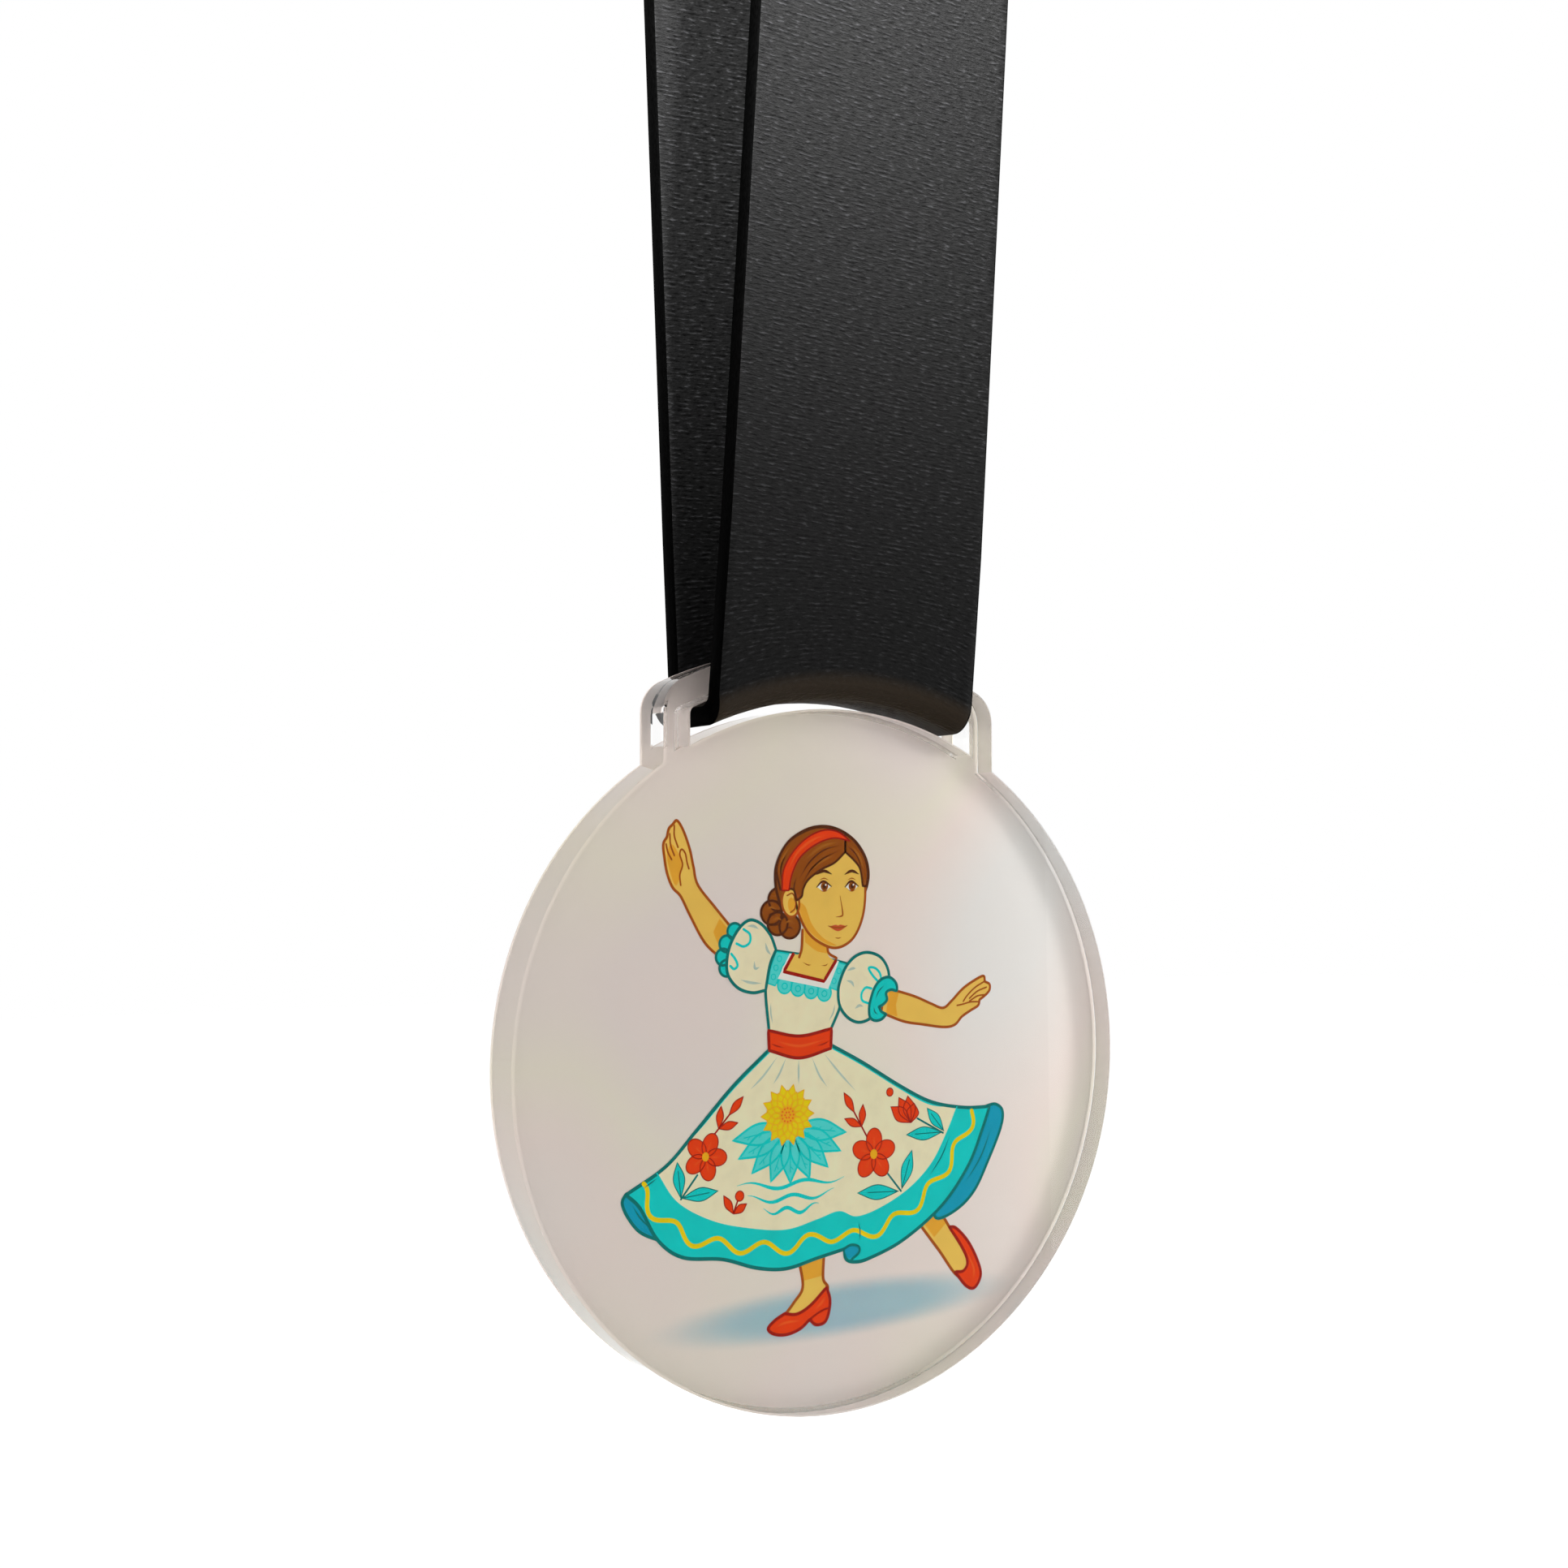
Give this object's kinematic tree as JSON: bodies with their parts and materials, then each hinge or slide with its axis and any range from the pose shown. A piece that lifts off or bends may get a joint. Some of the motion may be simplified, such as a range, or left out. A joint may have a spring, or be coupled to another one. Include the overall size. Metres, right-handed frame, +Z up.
{
  "type": "finisher medal",
  "caption": "Round clear acrylic award medal with a silvered back, a printed dancer seen through the plate, and a flat black neck ribbon through its bracket.",
  "frame": {"origin": "centre of the disc on the outer face of the rear film", "axes": "+Z up along the ribbon, +Y out of the medal's back, +X to the right of someone facing its front"},
  "size_m": [0.07, 0.0126, 0.1711],
  "materials": {
    "acrylic": "clear, polished",
    "silver_film": "satin pearl silver",
    "print_ink": "cured ink",
    "white_ink": "cured white ink",
    "blue_ink": "thin cured ink",
    "ribbon": "ribbed black weave",
    "thread": "twisted black thread"
  },
  "bodies": {
    "ribbon": {"front_strap": "ribbon", "rear_strap": "ribbon", "top_loop": "ribbon", "seam_lap": "ribbon", "seam_stitching": "thread"},
    "fold": {"ribbon_fold": "ribbon"},
    "medal": {"medal_body": "acrylic", "rear_film": "silver_film", "figure_print": "print_ink", "print_underbase": "white_ink", "ground_tint": "blue_ink"}
  },
  "joints": [
    {"name": "medal_swing", "type": "hinge", "parent": "ribbon", "child": "fold", "pos_m": [0, -0.00265, 0.045], "axis": [1, 0, 0], "range_deg": [-20, 20]},
    {"name": "medal_tilt", "type": "hinge", "parent": "fold", "child": "medal", "pos_m": [0, -0.00265, 0], "axis": [0, 1, 0], "range_deg": [-1.8, 1.8]}
  ]
}
